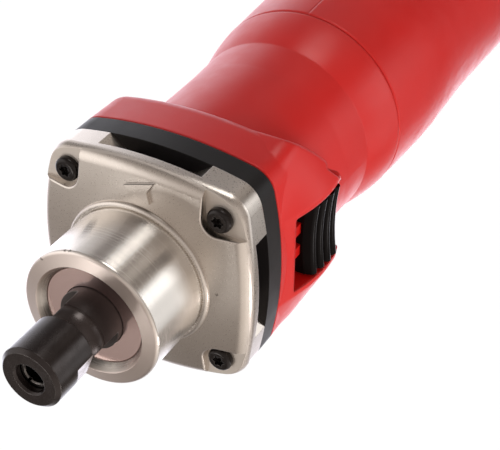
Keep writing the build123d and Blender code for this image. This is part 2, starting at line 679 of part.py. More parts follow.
# ---------------------------------------------------------------- rotor
with BuildPart() as spindle_shaft:
    with BuildSketch(Plane.XY):
        with BuildLine():
            Polyline(
                (33.2, 0), (33.2, 7.0), (32.7, THREAD_R), (24.2, THREAD_R), (23.8, 6.9), (22.3, 6.9), (22.3, 8.23),
            )
            ThreePointArc((22.3, 8.23), (20.3, 9.046), (18.3, SPINDLE_R))
            Polyline(
                (18.3, SPINDLE_R), (7.6, SPINDLE_R), (7.6, 6.8), (7.0, 6.8), (7.0, 5.0), (-116, 5.0),
                (-116, 4.5), (-140, 4.5), (-140, 4.0), (-156, 4.0), (-156, 0), (33.2, 0),
            )
        make_face()
    revolve(axis=Axis.X)
    # taper seat of the collet and the clearance hole behind it
    with BuildSketch(Plane.XY):
        add(turned([
            (34, 0), (34, 6.06), (33.2, 6.0), (12.9, 4.5), (12.9, 3.4), (8.0, 3.4), (8.0, 0),
        ]))
    revolve(axis=Axis.X, mode=Mode.SUBTRACT)
    # two spanner flats
    for turn in (SPINDLE_FLAT_ANGLE, SPINDLE_FLAT_ANGLE + 180):
        with BuildSketch(Plane.YZ.offset(11.4)):
            with Locations(((SPINDLE_FLAT + 5) * cos(radians(turn)), (SPINDLE_FLAT + 5) * sin(radians(turn)))):
                Rectangle(10, 24, rotation=turn)
        extrude(amount=11.4, mode=Mode.SUBTRACT)
finish(spindle_shaft, "spindle_shaft")

with BuildPart() as collet:
    with BuildSketch(Plane.XY):
        add(turned([
            (35.7, COLLET_R + 0.35), (35.7, 4.2), (33.9, 6.0), (33.4, 6.0), (33.4, 5.95), (13.7, 4.49),
            (13.2, 4.2), (13.2, COLLET_R), (35.35, COLLET_R),
        ]))
    revolve(axis=Axis.X)
    with BuildSketch(Plane.YZ.offset(17)):
        with PolarLocations(6, 4, start_angle=55.6):
            Rectangle(9, 0.8)
    extrude(amount=20, mode=Mode.SUBTRACT)
finish(collet, "collet")

with BuildPart() as collet_nut:
    with BuildSketch(Plane.XY):
        add(turned([
            (X_NUT_FRONT, 4.9), (X_NUT_FRONT, 8.2), (X_NUT_FRONT - 1.1, NUT_R), (X_NUT_REAR + 0.4, NUT_R),
            (X_NUT_REAR, NUT_R - 0.4), (X_NUT_REAR, 8.0), (X_NUT_REAR + 0.4, 7.58), (34.0, 7.58), (34.0, 6.3),
            (35.9, 4.4), (37.6, 4.4),
        ]))
    revolve(axis=Axis.X)
    for turn in (NUT_FLAT_ANGLE, NUT_FLAT_ANGLE + 180):
        with BuildSketch(Plane.YZ.offset(X_NUT_REAR - 1)):
            with Locations(((NUT_FLAT + 5) * cos(radians(turn)), (NUT_FLAT + 5) * sin(radians(turn)))):
                Rectangle(10, 24, rotation=turn)
        extrude(amount=X_NUT_FLAT - X_NUT_REAR + 1, mode=Mode.SUBTRACT)
finish(collet_nut, "collet_nut")

with BuildPart() as fan:
    with BuildSketch(Plane.XY):
        add(turned([
            (-21.4, 5.0), (-21.4, 8.5), (-21.4, 26.0), (-22.8, 26.0), (-24.0, 9.0), (-33.0, 8.5), (-33.0, 5.0),
        ]))
    revolve(axis=Axis.X)
    with BuildSketch(Plane.YZ.offset(-32.0)):
        with PolarLocations(0, 11):
            with BuildLine():
                ThreePointArc((8.0, 0.7), (17.5, 2.6), (25.8, 0.7))
                Line((25.8, 0.7), (25.8, -0.7))
                ThreePointArc((25.8, -0.7), (17.5, 1.2), (8.0, -0.7))
                Line((8.0, -0.7), (8.0, 0.7))
            make_face()
    extrude(amount=9.6)
finish(fan, "fan")

with BuildPart() as armature_core:
    with BuildSketch(Plane.YZ.offset(-105)):
        Circle(16.5)
        Circle(5.0, mode=Mode.SUBTRACT)
        with PolarLocations(12.4, 12):
            Circle(2.2, mode=Mode.SUBTRACT)
        with PolarLocations(15.0, 12):
            Rectangle(6, 1.6, mode=Mode.SUBTRACT)
    extrude(amount=44)
finish(armature_core, "armature_core")

with BuildPart() as armature_winding:
    for a, b in ((-60.6, -52.6), (-113.4, -105.4)):
        with BuildSketch(Plane.XY):
            with BuildLine():
                Polyline((a, 6.2), (a, 14.2), ((a + b) / 2, 15.2), (b, 14.2), (b, 6.2), close=True)
            make_face()
        revolve(axis=Axis.X)
    with BuildSketch(Plane.YZ.offset(-110)):
        with PolarLocations(12.4, 12):
            Circle(2.0)
    extrude(amount=54)
finish(armature_winding, "armature_winding")

with BuildPart() as commutator:
    with BuildSketch(Plane.XY):
        add(turned([
            (-119.5, 8.0), (-119.5, 13.0), (-121.8, 13.0), (-121.8, 11.5), (-138, 11.5), (-138, 8.0),
        ]))
    revolve(axis=Axis.X)
    with BuildSketch(Plane.YZ.offset(-140)):
        with PolarLocations(12.3, 24):
            Rectangle(4, 0.6)
    extrude(amount=25, mode=Mode.SUBTRACT)
finish(commutator, "commutator")

with BuildPart() as commutator_hub:
    with BuildSketch(Plane.XY):
        add(turned([(-118.5, 4.5), (-118.5, 8.0), (-139.0, 8.0), (-139.0, 4.5)]))
    revolve(axis=Axis.X)
finish(commutator_hub, "commutator_hub")


# ---------------------------------------------------------------- bearings
def race(x0, x1, r0, r1, pitch, groove):
    """Half section of a race with its ball groove cut."""
    mid = (x0 + x1) / 2
    with BuildSketch() as s:
        with Locations((mid, (r0 + r1) / 2)):
            Rectangle(x1 - x0, r1 - r0)
        with Locations((mid, pitch)):
            Circle(groove, mode=Mode.SUBTRACT)
    return s.sketch


with BuildPart() as front_bearing_outer_race:
    with BuildSketch(Plane.XY):
        add(race(-2.0, 7.0, 11.9, 15.0, 10.0, 2.45))
    revolve(axis=Axis.X)
finish(front_bearing_outer_race, "front_bearing_outer_race")

with BuildPart() as front_bearing_inner_race:
    with BuildSketch(Plane.XY):
        add(race(-2.0, 7.0, 5.0, 8.1, 10.0, 2.45))
    revolve(axis=Axis.X)
finish(front_bearing_inner_race, "front_bearing_inner_race")

with BuildPart() as front_bearing_balls:
    for i in range(7):
        t = 2 * 3.141592653589793 * i / 7
        with Locations((2.5, 10.0 * cos(t), 10.0 * sin(t))):
            Sphere(2.38)
finish(front_bearing_balls, "front_bearing_balls")

with BuildPart() as front_bearing_cage:
    with BuildSketch(Plane.YZ.offset(-0.6)):
        Circle(10.7)
        Circle(9.3, mode=Mode.SUBTRACT)
    extrude(amount=6.2)
    for i in range(7):
        t = 2 * 3.141592653589793 * i / 7
        with Locations((2.5, 10.0 * cos(t), 10.0 * sin(t))):
            Sphere(2.44, mode=Mode.SUBTRACT)
finish(front_bearing_cage, "front_bearing_cage")

with BuildPart() as bearing_shim:
    with BuildSketch(Plane.YZ.offset(7.0)):
        Circle(14.9)
        Circle(12.6, mode=Mode.SUBTRACT)
    extrude(amount=0.9)
finish(bearing_shim, "bearing_shim")

with BuildPart() as rear_bearing_outer_race:
    with BuildSketch(Plane.XY):
        add(race(-154.0, -147.0, 9.0, 11.0, 7.5, 2.02))
    revolve(axis=Axis.X)
finish(rear_bearing_outer_race, "rear_bearing_outer_race")

with BuildPart() as rear_bearing_inner_race:
    with BuildSketch(Plane.XY):
        add(race(-154.0, -147.0, 4.0, 6.0, 7.5, 2.02))
    revolve(axis=Axis.X)
finish(rear_bearing_inner_race, "rear_bearing_inner_race")

with BuildPart() as rear_bearing_balls:
    for i in range(7):
        t = 2 * 3.141592653589793 * i / 7
        with Locations((-150.5, 7.5 * cos(t), 7.5 * sin(t))):
            Sphere(1.95)
finish(rear_bearing_balls, "rear_bearing_balls")

with BuildPart() as rear_bearing_cage:
    with BuildSketch(Plane.YZ.offset(-153.1)):
        Circle(8.1)
        Circle(6.9, mode=Mode.SUBTRACT)
    extrude(amount=5.2)
    for i in range(7):
        t = 2 * 3.141592653589793 * i / 7
        with Locations((-150.5, 7.5 * cos(t), 7.5 * sin(t))):
            Sphere(2.0, mode=Mode.SUBTRACT)
finish(rear_bearing_cage, "rear_bearing_cage")

with BuildPart() as rear_bearing_boot:
    with BuildSketch(Plane.XY):
        add(turned([
            (-146.4, 11.0), (-146.4, 13.0), (-155.9, 13.0), (-155.9, 9.6), (-154.0, 9.6), (-154.0, 11.0),
        ]))
    revolve(axis=Axis.X)
finish(rear_bearing_boot, "rear_bearing_boot")

# ---------------------------------------------------------------- field
with BuildPart() as field_core:
    with BuildSketch(Plane.YZ.offset(-105)) as lamination:
        Circle(28.0)
        Rectangle(49.6, 60, mode=Mode.INTERSECT)
        Circle(17.1, mode=Mode.SUBTRACT)
        with Locations((17.0, 0), (-17.0, 0)):
            RectangleRounded(8.6, 27.0, 2.0, mode=Mode.SUBTRACT)
        with Locations((0, 25.0), (0, -25.0)):
            Circle(1.75, mode=Mode.SUBTRACT)
    extrude(amount=44)
finish(field_core, "field_core")

with BuildPart() as field_coils:
    for side in (1, -1):
        with BuildSketch(Plane.YZ.offset(-112)):
            with Locations((18.5, side * 10.4), (-18.5, side * 10.4)):
                Rectangle(4.4, 5.0)
        extrude(amount=58)
        for a in (-112, -60.6):
            with BuildSketch(Plane.YZ.offset(a)):
                Circle(21.6)
                Circle(17.8, mode=Mode.SUBTRACT)
                with Locations((0, side * (7.9 + 20))):
                    Rectangle(60, 40, mode=Mode.INTERSECT)
            extrude(amount=6.6)
finish(field_coils, "field_coils")

with BuildPart() as field_screws:
    with BuildSketch(Plane.YZ.offset(-61.0)):
        with Locations((0, 25.0), (0, -25.0)):
            Circle(2.9)
    extrude(amount=2.6)
    with BuildSketch(Plane.YZ.offset(-61.0)):
        with Locations((0, 25.0), (0, -25.0)):
            Circle(1.65)
    extrude(amount=-56)
finish(field_screws, "field_screws")

# ---------------------------------------------------------------- brush gear
for side, where in ((1, "upper"), (-1, "lower")):
    with BuildPart() as brush_holder:
        with Locations((-130, 0, side * 21.8)):
            Box(9.5, 6.6, 15.6)
        with Locations((-130, 0, side * 21.0)):
            Box(8.2, 5.2, 16.0, mode=Mode.SUBTRACT)
        with Locations((-137.9, 0, side * 20.4)):
            Box(6.3, 3.0, 0.8)
    finish(brush_holder, f"brush_holder_{where}")

    with BuildPart() as carbon_brush:
        with Locations((-130, 0, side * 16.5)):
            Box(8.0, 5.0, 11.0)
        with BuildSketch(Plane.YZ.offset(-140)):
            Circle(11.6)
        extrude(amount=20, mode=Mode.SUBTRACT)
    finish(carbon_brush, f"carbon_brush_{where}")

    with BuildPart() as brush_spring:
        with BuildLine() as coil:
            Helix(pitch=1.5, height=5.9, radius=1.8, center=(-130, 0, 22.45 if side > 0 else -28.35))
        with BuildSketch(Plane(origin=coil.line @ 0, z_dir=coil.line % 0)):
            Circle(0.3)
        sweep(path=coil.line)
    finish(brush_spring, f"brush_spring_{where}")
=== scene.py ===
import math

import bmesh
import bpy
from mathutils import Matrix, Vector


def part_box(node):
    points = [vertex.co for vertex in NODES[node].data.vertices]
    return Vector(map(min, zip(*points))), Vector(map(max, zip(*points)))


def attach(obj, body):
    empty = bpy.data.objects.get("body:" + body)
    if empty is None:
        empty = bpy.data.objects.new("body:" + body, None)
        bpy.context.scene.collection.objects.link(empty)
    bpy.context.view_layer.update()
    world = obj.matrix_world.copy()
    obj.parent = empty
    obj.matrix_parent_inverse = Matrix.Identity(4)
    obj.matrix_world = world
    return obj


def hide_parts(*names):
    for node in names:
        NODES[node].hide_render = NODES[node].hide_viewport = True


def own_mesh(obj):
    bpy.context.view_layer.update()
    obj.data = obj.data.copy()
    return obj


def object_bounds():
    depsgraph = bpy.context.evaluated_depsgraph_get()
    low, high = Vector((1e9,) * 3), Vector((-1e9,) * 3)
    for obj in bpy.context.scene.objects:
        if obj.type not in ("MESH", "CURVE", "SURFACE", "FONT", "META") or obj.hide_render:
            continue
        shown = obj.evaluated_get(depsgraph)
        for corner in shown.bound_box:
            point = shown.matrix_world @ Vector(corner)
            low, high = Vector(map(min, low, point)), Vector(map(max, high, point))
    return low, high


# Looks of a straight grinder. X runs forward along the spindle, Y is the tool's left, Z is up, metres.
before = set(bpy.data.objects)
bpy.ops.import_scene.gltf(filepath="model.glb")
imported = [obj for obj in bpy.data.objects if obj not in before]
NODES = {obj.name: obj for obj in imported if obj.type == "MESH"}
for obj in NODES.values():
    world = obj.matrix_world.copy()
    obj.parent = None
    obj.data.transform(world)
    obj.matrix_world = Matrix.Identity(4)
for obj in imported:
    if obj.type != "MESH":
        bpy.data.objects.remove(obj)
cad_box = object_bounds()


# ------------------------------------------------------------------ material tools
class Finish:
    """A material whose colour, roughness and relief come from procedural nodes in object space."""

    def __init__(self, name):
        self.m = bpy.data.materials.new(name)
        self.m.use_nodes = True
        self.t = self.m.node_tree
        self.b = self.t.nodes["Principled BSDF"]
        self.o = self.t.nodes.new("ShaderNodeTexCoord").outputs["Object"]

    def new(self, kind, **props):
        n = self.t.nodes.new(kind)
        for k, v in props.items():
            setattr(n, k, v)
        return n

    def put(self, socket, value):
        if isinstance(value, bpy.types.NodeSocket):
            self.t.links.new(value, socket)
        else:
            socket.default_value = value

    def math(self, op, a, b=0.0, clamp=False):
        n = self.new("ShaderNodeMath", operation=op, use_clamp=clamp)
        self.put(n.inputs[0], a)
        self.put(n.inputs[1], b)
        return n.outputs[0]

    def xyz(self):
        n = self.new("ShaderNodeSeparateXYZ")
        self.put(n.inputs[0], self.o)
        return n.outputs

    def radius(self):
        x, y, z = self.xyz()
        return self.math("SQRT", self.math("ADD", self.math("MULTIPLY", y, y), self.math("MULTIPLY", z, z)))

    def stretch(self, sx, sy, sz, vector=None):
        n = self.new("ShaderNodeVectorMath", operation="MULTIPLY")
        self.put(n.inputs[0], vector or self.o)
        n.inputs[1].default_value = (sx, sy, sz)
        return n.outputs[0]

    def noise(self, scale, detail=2.0, rough=0.5, vector=None, warp=0.0):
        n = self.new("ShaderNodeTexNoise")
        self.put(n.inputs["Vector"], vector or self.o)
        n.inputs["Scale"].default_value = scale
        n.inputs["Detail"].default_value = detail
        n.inputs["Roughness"].default_value = rough
        n.inputs["Distortion"].default_value = warp
        return n.outputs["Fac"]

    def span(self, value, a, b, lo=0.0, hi=1.0, smooth=False):
        n = self.new("ShaderNodeMapRange", interpolation_type="SMOOTHSTEP" if smooth else "LINEAR")
        self.put(n.inputs["Value"], value)
        n.inputs["From Min"].default_value = a
        n.inputs["From Max"].default_value = b
        self.put(n.inputs["To Min"], lo)
        self.put(n.inputs["To Max"], hi)
        return n.outputs["Result"]

    def mix(self, fac, a, b):
        n = self.new("ShaderNodeMix", data_type="RGBA", clamp_factor=True)
        self.put(n.inputs[0], fac)
        self.put(n.inputs[6], a if isinstance(a, bpy.types.NodeSocket) else (*a, 1.0))
        self.put(n.inputs[7], b if isinstance(b, bpy.types.NodeSocket) else (*b, 1.0))
        return n.outputs[2]

    def blend(self, fac, a, b):
        n = self.new("ShaderNodeMix", data_type="FLOAT", clamp_factor=True)
        self.put(n.inputs[0], fac)
        self.put(n.inputs[2], a)
        self.put(n.inputs[3], b)
        return n.outputs[0]

    def soft_edges(self, radius, samples=6):
        n = self.new("ShaderNodeBevel", samples=samples)
        n.inputs["Radius"].default_value = radius
        return n.outputs["Normal"]

    def edge_mask(self, rounded, lo=0.985, hi=0.90):
        g = self.new("ShaderNodeNewGeometry")
        d = self.new("ShaderNodeVectorMath", operation="DOT_PRODUCT")
        self.put(d.inputs[0], rounded)
        self.put(d.inputs[1], g.outputs["Normal"])
        return self.span(d.outputs["Value"], lo, hi)

    def bump(self, height, distance, strength=1.0, normal=None):
        n = self.new("ShaderNodeBump")
        n.inputs["Distance"].default_value = distance
        n.inputs["Strength"].default_value = strength
        self.put(n.inputs["Height"], height)
        if normal is not None:
            self.put(n.inputs["Normal"], normal)
        return n.outputs["Normal"]

    def near(self, points, radius):
        """Ragged mask round a few points."""
        least = None
        for p in points:
            d = self.new("ShaderNodeVectorMath", operation="DISTANCE")
            self.put(d.inputs[0], self.o)
            d.inputs[1].default_value = p
            least = d.outputs["Value"] if least is None else self.math("MINIMUM", least, d.outputs["Value"])
        ragged = self.math("ADD", least, self.span(self.noise(1500, 3, 0.7), 0.3, 0.7, -0.0004, 0.0004))
        return self.span(ragged, radius, 0.5 * radius)

    def surface(self, color=None, rough=None, metallic=None, normal=None, ior=None, spec=None):
        for key, value in (("Base Color", color), ("Roughness", rough), ("Metallic", metallic),
                           ("Normal", normal), ("IOR", ior), ("Specular IOR Level", spec)):
            if value is not None:
                self.put(self.b.inputs[key], value)
        return self.m


def tint(c, k):
    return tuple(min(1.0, v * k) for v in c)


def plastic(name, color, rough=0.4, var=0.08, grain=0.3, pitch=2600, edge=0.0004, spec=0.5):
    """Moulded plastic: faint flow mottling, fine eroded grain, softly rounded edges."""
    f = Finish(name)
    blot = f.noise(28, 3, 0.55)
    c = f.mix(f.span(blot, 0.3, 0.7), tint(color, 1 - var), tint(color, 1 + var))
    r = f.span(f.noise(160, 3, 0.6), 0.3, 0.7, rough - 0.045, rough + 0.045)
    n = f.bump(f.noise(pitch, 2, 0.6), 0.00002, grain, f.soft_edges(edge) if edge else None)
    return f.surface(c, r, 0.0, n, 1.5, spec)


def slider_finish():
    """Black plastic, dull on the front end and polished by thumbs over the ribs."""
    f = Finish("slider_plastic")
    x, y, z = f.xyz()
    ribs = f.span(x, -0.0489, -0.0497)
    c = f.mix(f.span(f.noise(120, 3, 0.6), 0.3, 0.7), (0.0024, 0.0016, 0.0016), (0.0034, 0.0024, 0.0024))
    n = f.bump(f.noise(2600, 2, 0.5), 0.000003, 0.2, f.soft_edges(0.0002, 8))
    return f.surface(c, f.blend(ribs, 0.5, 0.19), 0.0, n, 1.5, 0.06)


def metal(name, color, rough=0.3, var=0.08, brushed=(1, 1, 1), pitch=900, depth=0.000006, edge=0.0003):
    """Bare or plated metal with fine tool marks along one way."""
    f = Finish(name)
    marks = f.noise(pitch, 3, 0.6, f.stretch(*brushed))
    c = f.mix(f.span(f.noise(60, 3), 0.3, 0.7), tint(color, 1 - var), tint(color, 1 + var))
    r = f.span(marks, 0.3, 0.7, rough - 0.07, rough + 0.07)
    n = f.bump(marks, depth, 0.8, f.soft_edges(edge) if edge else None)
    return f.surface(c, r, 1.0, n)


def black_oxide(name, worn=0.5, rough=0.3, shade=1.0, flat=None, ior=1.55, dull=None):
    """Blackened steel: oily dark skin, paler where edges have rubbed and where a spanner has sat."""
    f = Finish(name)
    rounded = f.soft_edges(0.0004, 8)
    rub = f.math("MULTIPLY", f.edge_mask(rounded), f.span(f.noise(420, 4, 0.65), 0.42, 0.62))
    skin = f.mix(f.span(f.noise(90, 3), 0.3, 0.7), tint((0.025, 0.0170, 0.0158), shade), tint((0.041, 0.030, 0.028), shade))
    c = f.mix(f.math("MULTIPLY", rub, worn), skin, (0.30, 0.28, 0.27))
    metallic = 0.55
    if flat:
        (dy, dz), out, limit = flat
        x, y, z = f.xyz()
        reach = f.math("ABSOLUTE", f.math("ADD", f.math("MULTIPLY", y, dy), f.math("MULTIPLY", z, dz)))
        bare = f.math("MULTIPLY", f.span(reach, out - 0.00006, out - 0.00002), f.span(x, limit, limit - 0.00005))
        bare = f.math("MULTIPLY", bare, f.span(f.noise(500, 4, 0.7), 0.25, 0.55, 0.55, 1.0))
        c = f.mix(bare, c, (0.62, 0.57, 0.565))
        metallic = f.blend(bare, 0.55, 1.0)
    r = f.span(f.noise(300, 4, 0.6), 0.3, 0.7, rough - 0.05, rough + 0.07)
    if dull:
        r = f.math("ADD", r, f.span(f.xyz()[0], dull, dull - 0.001, 0.0, 0.2))
    n = f.bump(f.noise(700, 3, 0.6, f.stretch(6, 1, 1)), 0.000008, 0.7, rounded)
    return f.surface(c, r, metallic, n, ior)


# ------------------------------------------------------------------ cast and turned nose
def nose_finish():
    """Satin casting on the flange, bright turning marks on the neck."""
    f = Finish("nose_casting")
    x, y, z = f.xyz()
    r = f.radius()
    neck = f.span(x, -0.0114, -0.0110)
    front = f.math("MULTIPLY", f.span(x, 0.0105, 0.0113), 1.0)
    rounded = f.soft_edges(0.00015, 8)
    # casting: blasted skin with faint cloudiness
    cloud = f.span(f.noise(45, 4, 0.6), 0.3, 0.7)
    cast = f.mix(cloud, (0.615, 0.562, 0.512), (0.675, 0.622, 0.572))
    skin = f.noise(1900, 3, 0.65)
    # turning: rings along the axis on the wall, rings about the axis on the front
    wall = f.noise(1.0, 3, 0.7, f.stretch(5200, 25, 25))
    comb = f.new("ShaderNodeCombineXYZ")
    f.put(comb.inputs[0], r)
    face = f.noise(4200, 3, 0.7, comb.outputs[0])
    rings = f.blend(front, wall, face)
    turned = f.mix(f.span(rings, 0.3, 0.7), (0.75, 0.715, 0.675), (0.83, 0.795, 0.75))
    turned = f.mix(front, turned, (0.70, 0.615, 0.57))
    c = f.mix(neck, cast, turned)
    # painted shade in the recess: the mouth wall darkens towards the bearing cover, standing in for its shadow and the
    # spindle's dark reflection; and a few knocks on the lip and on the face
    recess = f.math("MULTIPLY", f.span(r, 0.01700, 0.01685), f.span(x, 0.0070, 0.0080))
    recess_shade = f.math("MULTIPLY", recess, f.span(f.noise(260, 3, 0.6), 0.3, 0.7, 0.75, 1.0))
    c = f.mix(recess_shade, c, f.mix(f.span(r, 0.0156, 0.0170), (0.24, 0.22, 0.20), (0.52, 0.48, 0.44)))
    knocks = f.near([
        (0.01113, -0.01448, 0.01502), (0.01047, -0.00511, 0.02080), (0.0106, -0.0068, 0.0204),
        (-0.0132, 0.02519, 0.00173), (-0.0132, 0.01935, 0.0129),
    ], 0.00055)
    c = f.mix(f.math("MULTIPLY", knocks, 0.8), c, (0.13, 0.105, 0.09))
    # painted shade along the arrow's upper and rear steps: walls facing up or down are darkened as if they caught
    # little light
    facing = f.new("ShaderNodeSeparateXYZ")
    f.put(facing.inputs[0], f.new("ShaderNodeNewGeometry").outputs["True Normal"])
    arrow_step_shade = f.math("MULTIPLY", f.span(facing.outputs[0], 0.8, 0.6), f.span(f.math("ABSOLUTE", facing.outputs[2]), 0.40, 0.55))
    arrow_step_shade = f.math("MULTIPLY", arrow_step_shade, f.span(f.math("ABSOLUTE", f.math("SUBTRACT", y, 0.001)), 0.0075, 0.0065))
    arrow_step_shade = f.math("MULTIPLY", arrow_step_shade, f.span(f.math("ABSOLUTE", f.math("SUBTRACT", z, 0.0283)), 0.0042, 0.0038))
    arrow_step_shade = f.math("MULTIPLY", arrow_step_shade, f.span(x, -0.0150, -0.0140))
    c = f.mix(f.math("MULTIPLY", arrow_step_shade, 0.95), c, (0.035, 0.027, 0.022))
    rough = f.blend(neck, f.span(skin, 0.3, 0.7, 0.26, 0.33), f.blend(front, f.span(rings, 0.3, 0.7, 0.22, 0.28), f.span(rings, 0.3, 0.7, 0.32, 0.40)))
    # the floors under the screw heads are duller
    floor_x = f.math("MULTIPLY", f.span(x, -0.0164, -0.0168), f.span(x, -0.0174, -0.0172))
    rough = f.blend(floor_x, rough, 0.55)
    n1 = f.bump(skin, 0.000006, 0.22, rounded)
    n2 = f.bump(rings, 0.000005, 0.8, rounded)
    along = f.new("ShaderNodeCombineXYZ")
    f.put(along.inputs[0], f.blend(front, 1.0, 0.0))
    f.put(along.inputs[1], f.math("MULTIPLY", y, front))
    f.put(along.inputs[2], f.math("MULTIPLY", z, front))
    f.put(f.b.inputs["Tangent"], along.outputs[0])
    f.put(f.b.inputs["Anisotropic"], f.math("MULTIPLY", neck, f.blend(front, 0.85, 0.5)))
    mixn = f.new("ShaderNodeMix", data_type="VECTOR")
    f.put(mixn.inputs[0], neck)
    f.put(mixn.inputs[4], n1)
    f.put(mixn.inputs[5], n2)
    return f.surface(c, rough, 1.0, mixn.outputs[1])


def cover_finish():
    f = Finish("cover_plate")
    comb = f.new("ShaderNodeCombineXYZ")
    f.put(comb.inputs[0], f.radius())
    rings = f.noise(3600, 3, 0.7, comb.outputs[0])
    c = f.mix(f.span(rings, 0.3, 0.7), (0.86, 0.665, 0.64), (0.94, 0.735, 0.71))
    return f.surface(c, f.span(rings, 0.3, 0.7, 0.15, 0.22), 1.0, f.bump(rings, 0.000002, 0.6))


RED = (0.545, 0.0078, 0.0062)
FINISHES = {
    "red": plastic("red_plastic", RED, 0.36, 0.05, 0.22, 2400, 0.0010),
    "black": plastic("black_plastic", (0.0080, 0.0070, 0.0070), 0.34, 0.15, 0.3, 2600, 0.0003, 0.36),
    "slider": slider_finish(),
    "ring": plastic("black_ring", (0.0080, 0.0068, 0.0070), 0.40, 0.12, 0.35, 2200, 0.0003, 0.28),
    "grey": plastic("grey_plastic", (0.25, 0.25, 0.26), 0.5, 0.1, 0.3, 1800, 0.0003),
    "case": plastic("module_case", (0.5, 0.49, 0.45), 0.45, 0.06, 0.25, 1800, 0.0003),
    "resin": plastic("brown_resin", (0.16, 0.06, 0.025), 0.35, 0.15, 0.2, 900, 0.0002),
    "insulation": plastic("blue_insulation", (0.05, 0.08, 0.28), 0.35, 0.1, 0.15, 1500, 0),
    "rubber": plastic("black_rubber", (0.017, 0.017, 0.0175), 0.62, 0.2, 0.5, 2000, 0.0003),
    "carbon": plastic("pressed_carbon", (0.028, 0.028, 0.030), 0.55, 0.25, 0.6, 1300, 0.0002),
    "oxide": black_oxide("black_steel", 0.5, 0.24, 1.0, None, 1.7, 0.0178),
    "nut": black_oxide("black_nut", 0.5, 0.24, 0.60, ((math.cos(math.radians(-20)), math.sin(math.radians(-20))), 0.0085, 0.0298)),
    "screw": black_oxide("black_screw", 0.25, 0.24, 0.35),
    "chuck": metal("dark_steel", (0.13, 0.12, 0.115), 0.28, 0.1, (6, 1, 1)),
    "steel": metal("ground_steel", (0.60, 0.60, 0.61), 0.22, 0.06, (6, 1, 1)),
    "brass": metal("pressed_brass", (0.66, 0.47, 0.19), 0.30, 0.1),
    "copper": metal("varnished_copper", (0.60, 0.25, 0.12), 0.32, 0.15, (1, 8, 8), 700, 0.00002),
    "stack": metal("stacked_sheets", (0.26, 0.26, 0.28), 0.42, 0.15, (14, 0.3, 0.3), 220, 0.00004),
    "nose": nose_finish(),
    "cover": cover_finish(),
}
WEARS = {
    "red": ["motor_housing", "handle_left", "handle_right"],
    "black": ["speed_dial", "power_switch"],
    "slider": ["slide_button"],
    "ring": ["spacer_ring"],
    "grey": ["air_baffle", "switch_rod", "switch_actuator", "fan", "cord_clamp", "dial_potentiometer"],
    "case": ["speed_module", "suppression_capacitor"],
    "resin": ["commutator_hub"],
    "insulation": ["lead_wires"],
    "rubber": ["cord_gland", "rear_bearing_boot"],
    "carbon": ["carbon_brush_upper", "carbon_brush_lower"],
    "oxide": ["spindle_shaft"],
    "nut": ["collet_nut"],
    "chuck": ["collet"],
    "screw": ["flange_screws", "handle_screws"],
    "steel": ["front_bearing_outer_race", "front_bearing_inner_race", "front_bearing_balls",
              "rear_bearing_outer_race", "rear_bearing_inner_race", "rear_bearing_balls", "bearing_shim",
              "brush_spring_upper", "brush_spring_lower", "cord_clamp_screws", "field_screws"],
    "brass": ["front_bearing_cage", "rear_bearing_cage", "brush_holder_upper", "brush_holder_lower"],
    "copper": ["armature_winding", "field_coils", "commutator"],
    "stack": ["armature_core", "field_core"],
    "nose": ["nose_housing"],
    "cover": ["bearing_cover"],
}
for finish, names in WEARS.items():
    for name in names:
        slots = NODES[name].material_slots
        if not slots:
            NODES[name].data.materials.append(FINISHES[finish])
        for s in slots:
            s.material = FINISHES[finish]


# ------------------------------------------------------------------ stage, light, camera
def stage_floor():
    mesh = bpy.data.meshes.new("floor")
    z = cad_box[0][2] - 0.0002
    s = 4.0
    mesh.from_pydata([(-s, -s, z), (s, -s, z), (s, s, z), (-s, s, z)], [], [(0, 1, 2, 3)])
    floor = bpy.data.objects.new("floor", mesh)
    bpy.context.scene.collection.objects.link(floor)
    f = Finish("pale_floor")
    f.surface(f.mix(f.span(f.noise(3, 2), 0.3, 0.7), (0.03, 0.03, 0.03), (0.04, 0.04, 0.04)), 0.9)
    f.b.inputs["Specular IOR Level"].default_value = 0.0
    f.b.inputs["Emission Color"].default_value = (1, 1, 1, 1)
    f.b.inputs["Emission Strength"].default_value = 1.0
    mesh.materials.append(f.m)
    floor.visible_glossy = False
    floor.visible_diffuse = False
    floor.visible_shadow = False


def brush_spring(node):
    """Open wire coil between a brush and its holder's cap, fixed to the housing."""
    lo, hi = (Vector(v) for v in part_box(node))
    mid = (lo + hi) / 2
    wire, turns, steps, sides = 0.00030, 6.5, 28, 10
    coil = min(hi.x - lo.x, hi.y - lo.y) / 2 - wire - 0.00002
    a, b = lo.z + wire + 0.00001, hi.z - wire - 0.00001
    verts, faces = [], []
    count = int(turns * steps) + 1
    for i in range(count):
        t = i / (count - 1)
        angle = 2 * math.pi * turns * t
        # the end turns lie flat on their seats
        rise = min(1.0, max(0.0, (t * turns - 0.8) / (turns - 1.6)))
        out = Vector((math.cos(angle), math.sin(angle), 0))
        at = Vector((mid.x, mid.y, a + (b - a) * rise)) + out * coil
        for k in range(sides):
            w = 2 * math.pi * k / sides
            verts.append(at + (out * math.cos(w) + Vector((0, 0, 1)) * math.sin(w)) * wire)
    for i in range(count - 1):
        for k in range(sides):
            n = (k + 1) % sides
            faces.append((i * sides + k, i * sides + n, (i + 1) * sides + n, (i + 1) * sides + k))
    faces.append(tuple(range(sides)))
    faces.append(tuple(range((count - 1) * sides, count * sides))[::-1])
    mesh = bpy.data.meshes.new(node + "_coil")
    mesh.from_pydata([tuple(v) for v in verts], [], faces)
    mesh.validate()
    mesh.update()
    for polygon in mesh.polygons:
        polygon.use_smooth = True
    mesh.materials.append(FINISHES["steel"])
    coil_piece = bpy.data.objects.new(node + "_coil", mesh)
    bpy.context.scene.collection.objects.link(coil_piece)
    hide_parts(node)
    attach(coil_piece, "housing")
    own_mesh(coil_piece)


brush_spring("brush_spring_upper")
brush_spring("brush_spring_lower")


